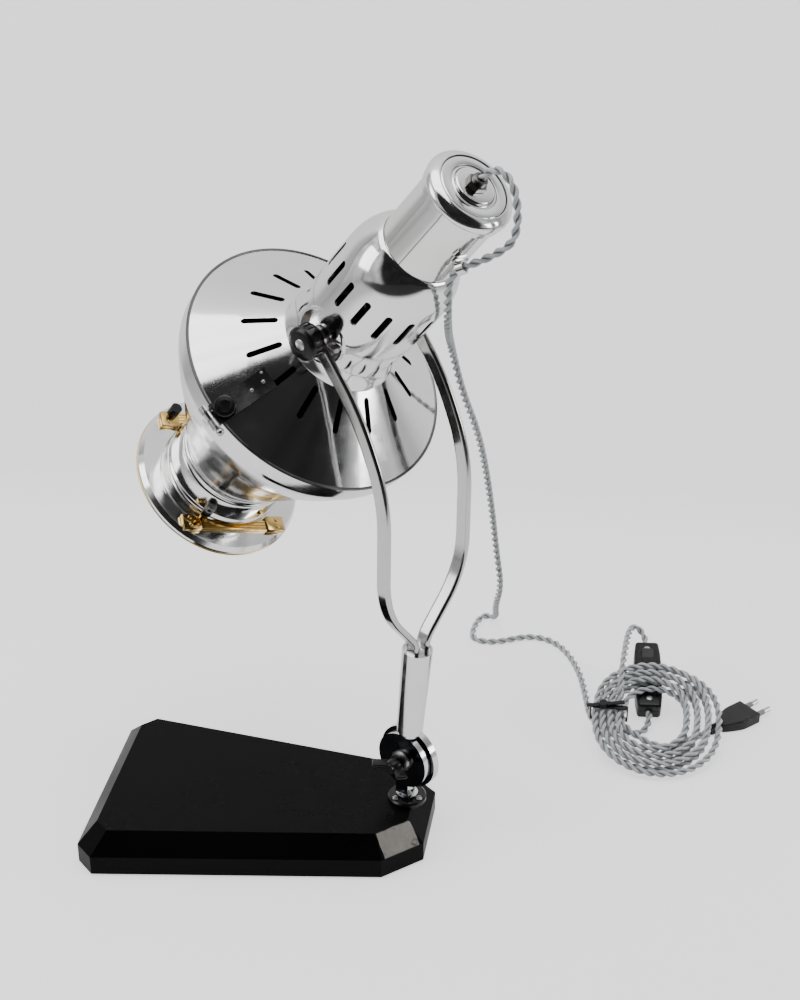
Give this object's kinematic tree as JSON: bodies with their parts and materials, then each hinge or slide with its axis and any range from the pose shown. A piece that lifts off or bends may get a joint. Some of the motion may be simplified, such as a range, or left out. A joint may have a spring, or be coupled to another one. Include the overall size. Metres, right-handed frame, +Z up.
{
  "type": "tabletop searchlight lamp",
  "caption": "Polished metal searchlight head with vented dome and hinged front drum, tilting in a yoke on a jointed stem over a black faceted base, with cord, inline switch and plug.",
  "frame": {"origin": "centre of the base's underside, where the pad meets the table", "axes": "+Z up; +X to the wide end of the base, away from the stem; +Y to the side that the picture was taken from"},
  "size_m": [0.5265, 0.4116, 0.564],
  "materials": {
    "black_gloss": "gloss",
    "pad_felt": "felt",
    "chrome": "polished",
    "steel": "satin",
    "polished_aluminium": "polished",
    "black_knob": "gloss",
    "brass": "worn polish",
    "ceramic": "glazed",
    "clear_glass": "clear",
    "frosted_glass": "frosted",
    "cord_cover": "twisted pair",
    "cord_black": "satin"
  },
  "bodies": {
    "base": {"base_block": "black_gloss", "base_pad": "pad_felt", "foot_flange": "chrome", "cord_floor": "cord_cover", "cord_coil": "cord_cover", "cord_arch": "cord_cover", "cord_tail": "cord_cover", "cord_tie": "cord_black", "switch_body": "cord_black", "plug_body": "cord_black", "plug_pin_left": "steel", "plug_pin_right": "steel"},
    "switch_key": {"switch_rocker": "cord_black"},
    "neck": {"hinge_neck": "chrome", "swivel_washer": "steel", "swivel_nut": "steel"},
    "stem": {"stem_disc": "chrome", "stem_tube": "chrome", "yoke_ferrule": "chrome", "yoke_arm_left": "chrome", "yoke_arm_right": "chrome", "hinge_bolt": "steel", "friction_washer": "black_knob", "hinge_nut": "steel"},
    "wing": {"wing_nut": "black_knob"},
    "head": {"bowl_housing": "polished_aluminium", "sleeve": "polished_aluminium", "rear_cap": "polished_aluminium", "end_plate": "polished_aluminium", "gland_nut": "chrome", "lamp_holder": "ceramic", "bulb": "frosted_glass", "pivot_cup_left": "polished_aluminium", "pivot_cup_right": "polished_aluminium", "pivot_stud_left": "chrome", "pivot_stud_right": "chrome", "dome_cover": "polished_aluminium", "dome_hinge": "polished_aluminium", "rim_pin": "steel", "hinge_knob": "black_knob", "cord_clip": "polished_aluminium", "cord_loop": "cord_cover", "cord_hang": "cord_cover"},
    "knob_left": {"pivot_knob_left": "black_knob"},
    "knob_right": {"pivot_knob_right": "black_knob"},
    "front": {"drum_shell": "polished_aluminium", "drum_hinge": "polished_aluminium", "front_collar": "polished_aluminium", "lens": "clear_glass", "front_flange": "polished_aluminium", "brass_ring": "brass", "slide_rail_lower": "polished_aluminium", "slide_rail_upper": "polished_aluminium", "catch_block": "polished_aluminium", "drum_tab": "polished_aluminium"},
    "rail_screw": {"rail_knob": "black_knob"},
    "catch_key": {"catch_screw": "brass"}
  },
  "joints": [
    {"name": "base_swivel", "type": "hinge", "parent": "base", "child": "neck", "pos_m": [-0.1126, -0.0025, 0.0328], "axis": [0, 0, 1], "range_deg": [-12, 90]},
    {"name": "stem_tilt", "type": "hinge", "parent": "neck", "child": "stem", "pos_m": [-0.1126, -0.0025, 0.072], "axis": [0.517, 0.856, 0], "range_deg": [-15, 0]},
    {"name": "wing_turn", "type": "hinge", "parent": "stem", "child": "wing", "pos_m": [-0.1126, -0.0025, 0.072], "axis": [0.517, 0.856, 0], "continuous": true},
    {"name": "head_tilt", "type": "hinge", "parent": "stem", "child": "head", "pos_m": [-0.07414, -0.0257, 0.4262], "axis": [0.517, 0.856, 0], "range_deg": [-15, 12.5]},
    {"name": "knob_left_turn", "type": "hinge", "parent": "head", "child": "knob_left", "pos_m": [-0.07414, -0.0257, 0.4262], "axis": [0.517, 0.856, 0], "continuous": true},
    {"name": "knob_right_turn", "type": "hinge", "parent": "head", "child": "knob_right", "pos_m": [-0.07414, -0.0257, 0.4262], "axis": [0.517, 0.856, 0], "continuous": true},
    {"name": "front_open", "type": "hinge", "parent": "head", "child": "front", "pos_m": [0.01701, 0.04308, 0.37548], "axis": [0.6563, -0.3964, 0.642], "range_deg": [0, 60]},
    {"name": "rail_screw_turn", "type": "hinge", "parent": "front", "child": "rail_screw", "pos_m": [0.08547, -0.1124, 0.30136], "axis": [0.5495, -0.3319, -0.7667], "continuous": true},
    {"name": "catch_turn", "type": "hinge", "parent": "front", "child": "catch_key", "pos_m": [0.05036, -0.04859, 0.24453], "axis": [0.5495, -0.3319, -0.7667], "continuous": true},
    {"name": "switch_rock", "type": "hinge", "parent": "base", "child": "switch_key", "pos_m": [-0.28813, -0.22934, 0.03013], "axis": [0.9952, 0.0981, 0], "range_deg": [0, 8]}
  ]
}
